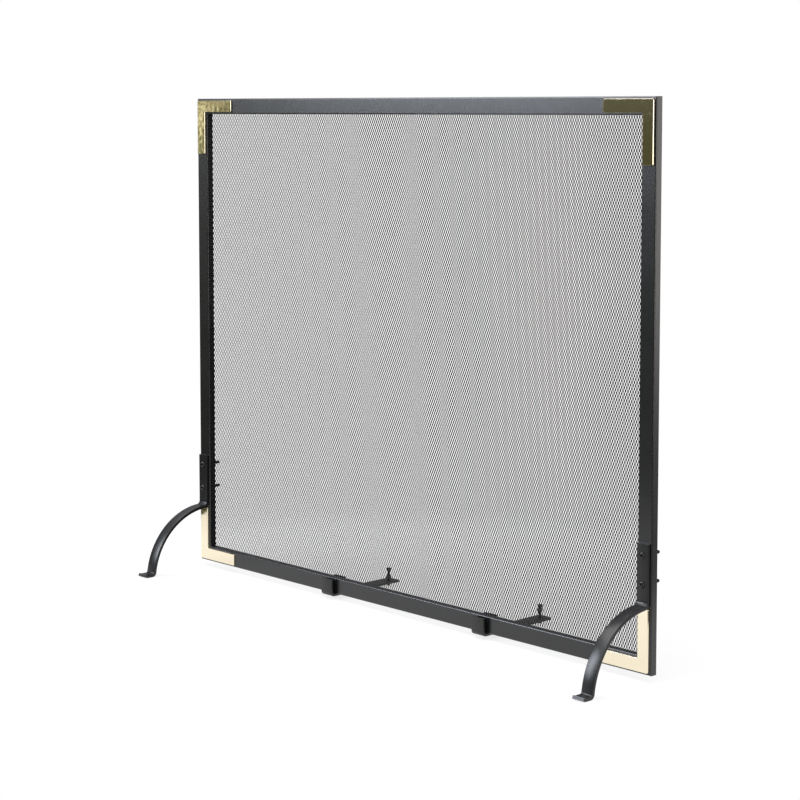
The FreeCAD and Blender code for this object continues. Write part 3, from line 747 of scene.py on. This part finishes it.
panel_width = panel_high.x - panel_low.x
panel_height = panel_high.z - panel_low.z
columns = round(panel_width / DIAMOND_WIDTH)
rows = round(panel_height / DIAMOND_HEIGHT)
step_across = panel_width / columns / 2
step_up = panel_height / rows / 2
wide = np.array((math.cos(STRAND_TURN), math.sin(STRAND_TURN), 0.0))
deep = np.array((-math.sin(STRAND_TURN), math.cos(STRAND_TURN), 0.0))
print("mesh", columns, "by", rows, "diamonds")


def strand(number):
    """Corners of one upright strand: three rings of four for each join, from bottom to top."""
    level = np.arange(2 * rows + 1)
    joined_left = (level % 2) == (number % 2)
    column = np.where(joined_left, number, number + 1)
    side = np.where(joined_left, 1.0, -1.0) * JOIN_OVERLAP * JOIN_WIDTH / 2
    joins = np.zeros((len(level), 3))
    joins[:, 0] = panel_low.x + SIDE_STEP + column * step_across
    joins[:, 1] = (panel_low.y + panel_high.y) / 2
    joins[:, 2] = panel_low.z + level * step_up
    joins += side[:, None] * wide
    rise = np.array((0, 0, JOIN_LENGTH / 2))
    legs = (joins + np.roll(joins, -1, axis=0)) / 2
    rings = np.stack([joins - rise, joins + rise, legs], axis=1).reshape(-1, 3)[:-1]
    width = np.tile((JOIN_WIDTH, JOIN_WIDTH, STRAND_WIDTH), len(level))[:-1, None]
    rings[:, 2] = rings[:, 2].clip(panel_low.z, panel_high.z)
    corners = [rings + (w * wide * width + d * deep * STRAND_THICKNESS) / 2
               for w, d in ((-1, -1), (1, -1), (1, 1), (-1, 1))]
    return np.stack(corners, axis=1).reshape(-1, 3)


# %% [markdown]
# The paint on the mesh is the same black, but sprayed thinner and duller, so the joins stay dark
# against the light behind them. The strands go into ten strips, side by side, because no single
# piece should be too heavy for the tools that read it later.

# %% Mesh strips
MESH_STRIPS = 10
mesh_coat = powder_coat("mesh_paint", thin=(0.0060, 0.0058, 0.0066, 1),
                        thick=(0.0095, 0.0090, 0.0105, 1), roughness=0.42, sheen=0.28)
strands = range(1, 2 * columns - 1)
per_strip = math.ceil(len(strands) / MESH_STRIPS)
rings = 3 * (2 * rows + 1) - 1
for strip in range(MESH_STRIPS):
    numbers = strands[strip * per_strip:(strip + 1) * per_strip]
    corners = np.concatenate([strand(number) for number in numbers])
    faces = [face for i in range(len(numbers)) for face in tube_faces(rings, 4, 4 * rings * i)]
    piece = new_piece(f"mesh_strip_{strip + 1}", corners.tolist(), faces, mesh_coat)
    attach(piece, "screen")
    if strip == 0:
        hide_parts("mesh_panel")
print(len(strands), "strands, up to", per_strip, "in a strip")

# %% [markdown]
# Behind, the mesh is held to the tubes by small tack welds, about every 10 cm. Each is a flattened
# drop that was painted over with the frame, and no two are quite the same size.

# %% Tack welds
chance = np.random.default_rng(11)
tack_x = np.linspace(-0.42, 0.42, 9) * 1000
tack_z = np.linspace(110, 695, 7)
inner_low, inner_high = (1000 * v for v in (panel_low, panel_high))
spots = ([(x, z) for x in tack_x for z in (inner_low.z + 3.2, inner_high.z - 3.2)]
         + [(x, z) for z in tack_z for x in (inner_low.x + 3.2, inner_high.x - 3.2)])
for number, (x, z) in enumerate(spots):
    size = chance.uniform(1.7, 2.4)
    drop = [(0, size), (0.35, size * 0.93), (0.7, size * 0.72), (0.95, size * 0.42), (1.05, 0.1)]
    uneven = 1 + 0.06 * np.sin(2 * ROUND + chance.uniform(0, 6)) + 0.03 * np.sin(5 * ROUND)
    tack = turned(f"tack_{number + 1}", (x, 1000 * panel_high.y - 0.3, z), (0, 1, 0),
                  [(height, radius * uneven) for height, radius in drop], frame_coat)
    stand_in(tack, "screen", "frame_paint")
print(len(spots), "tack welds")
